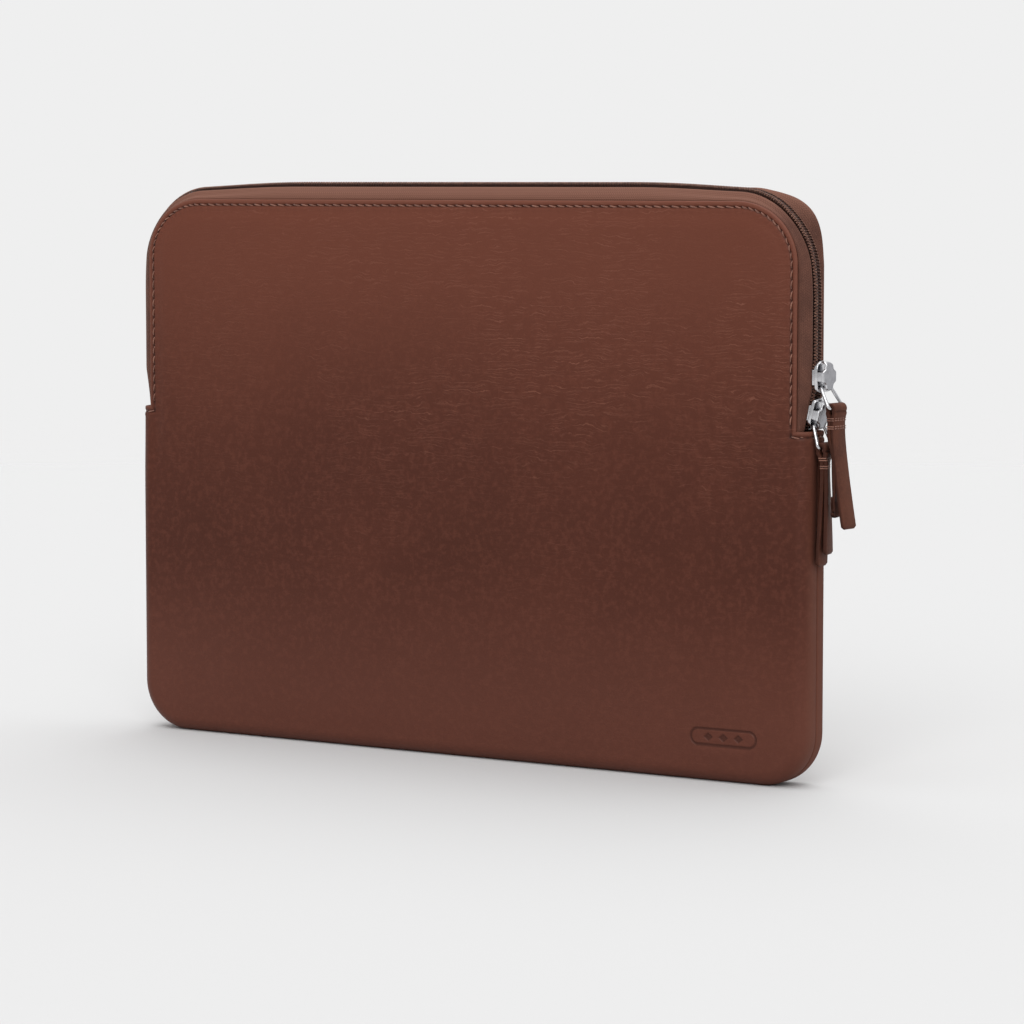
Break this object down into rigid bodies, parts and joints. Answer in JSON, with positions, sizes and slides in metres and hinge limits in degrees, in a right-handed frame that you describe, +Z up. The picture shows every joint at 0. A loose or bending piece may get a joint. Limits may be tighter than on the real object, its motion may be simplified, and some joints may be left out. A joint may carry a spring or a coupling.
{
  "type": "laptop sleeve",
  "caption": "Slim padded leather laptop sleeve with a zip over the top and upper sides, two zip sliders with leather pulls, and a flat lined pocket.",
  "frame": {"origin": "middle of the flat bottom edge that the sleeve stands on", "axes": "+Z up towards the zip's top run, +X to the right seen from the front, towards the side where both sliders are parked, -Y out of the front face"},
  "size_m": [0.351, 0.02, 0.245],
  "materials": {
    "leather": "soft pebbled brown leather",
    "pull_leather": "smooth brown leather with sealed edges",
    "foam": "soft closed-cell foam",
    "lining": "brushed microfibre",
    "zip_tape": "woven herringbone tape",
    "zip_coil": "nylon coil, satin",
    "thread": "bonded polyester thread",
    "slider_metal": "polished nickel",
    "spring_steel": "spring steel"
  },
  "bodies": {
    "sleeve": {"back_panel": "leather", "back_foam": "foam", "back_lining": "lining", "back_zip_tape": "zip_tape", "back_zip_coil": "zip_coil", "back_topstitch": "thread", "front_panel": "leather", "front_foam": "foam", "front_lining": "lining", "front_zip_tape_ends": "zip_tape", "front_zip_coil_ends": "zip_coil", "front_side_stitches": "thread", "edge_bumper": "foam", "zip_stop_left": "slider_metal", "zip_stop_right": "slider_metal"},
    "front_flap": {"flap_panel": "leather", "flap_foam": "foam", "flap_lining": "lining", "flap_zip_tape": "zip_tape", "flap_zip_coil": "zip_coil", "flap_topstitch": "thread"},
    "upper_slider": {"upper_slider_body": "slider_metal", "upper_slider_cap": "slider_metal", "upper_lock_spring": "spring_steel"},
    "upper_ring": {"upper_pull_ring": "slider_metal"},
    "upper_strap": {"upper_pull_strap": "pull_leather", "upper_pull_stitches": "thread"},
    "lower_slider": {"lower_slider_body": "slider_metal", "lower_slider_cap": "slider_metal", "lower_lock_spring": "spring_steel"},
    "lower_ring": {"lower_pull_ring": "slider_metal"},
    "lower_strap": {"lower_pull_strap": "pull_leather", "lower_pull_stitches": "thread"}
  },
  "joints": [
    {"name": "mouth_opening", "type": "hinge", "parent": "sleeve", "child": "front_flap", "pos_m": [0, -0.01, 0.182], "axis": [1, 0, 0], "range_deg": [0, 35], "stiffness_Nm_per_rad": 0.05},
    {"name": "upper_slider_travel", "type": "slide", "parent": "sleeve", "child": "upper_slider", "axis": [0, 0, 1], "range_m": [0, 0.008]},
    {"name": "upper_ring_swing", "type": "hinge", "parent": "upper_slider", "child": "upper_ring", "pos_m": [0.17145, 0, 0.1633], "axis": [0, -1, 0], "range_deg": [0, 60]},
    {"name": "upper_strap_swing", "type": "hinge", "parent": "upper_ring", "child": "upper_strap", "pos_m": [0.17645, 0, 0.15464], "axis": [0, -1, 0], "range_deg": [0, 60]},
    {"name": "lower_slider_travel", "type": "slide", "parent": "sleeve", "child": "lower_slider", "axis": [0.225, 0, 0.9744], "range_m": [0, 0.001]},
    {"name": "lower_ring_swing", "type": "hinge", "parent": "lower_slider", "child": "lower_ring", "pos_m": [0.16829, 0, 0.14799], "axis": [0, -1, 0], "range_deg": [0, 60]},
    {"name": "lower_strap_swing", "type": "hinge", "parent": "lower_ring", "child": "lower_strap", "pos_m": [0.17171, 0, 0.13859], "axis": [0, -1, 0], "range_deg": [0, 30]}
  ],
  "couplings": [
    {"joint": "lower_ring_swing", "follows": "upper_ring_swing", "ratio": 1},
    {"joint": "lower_strap_swing", "follows": "upper_strap_swing", "ratio": 0.5}
  ]
}
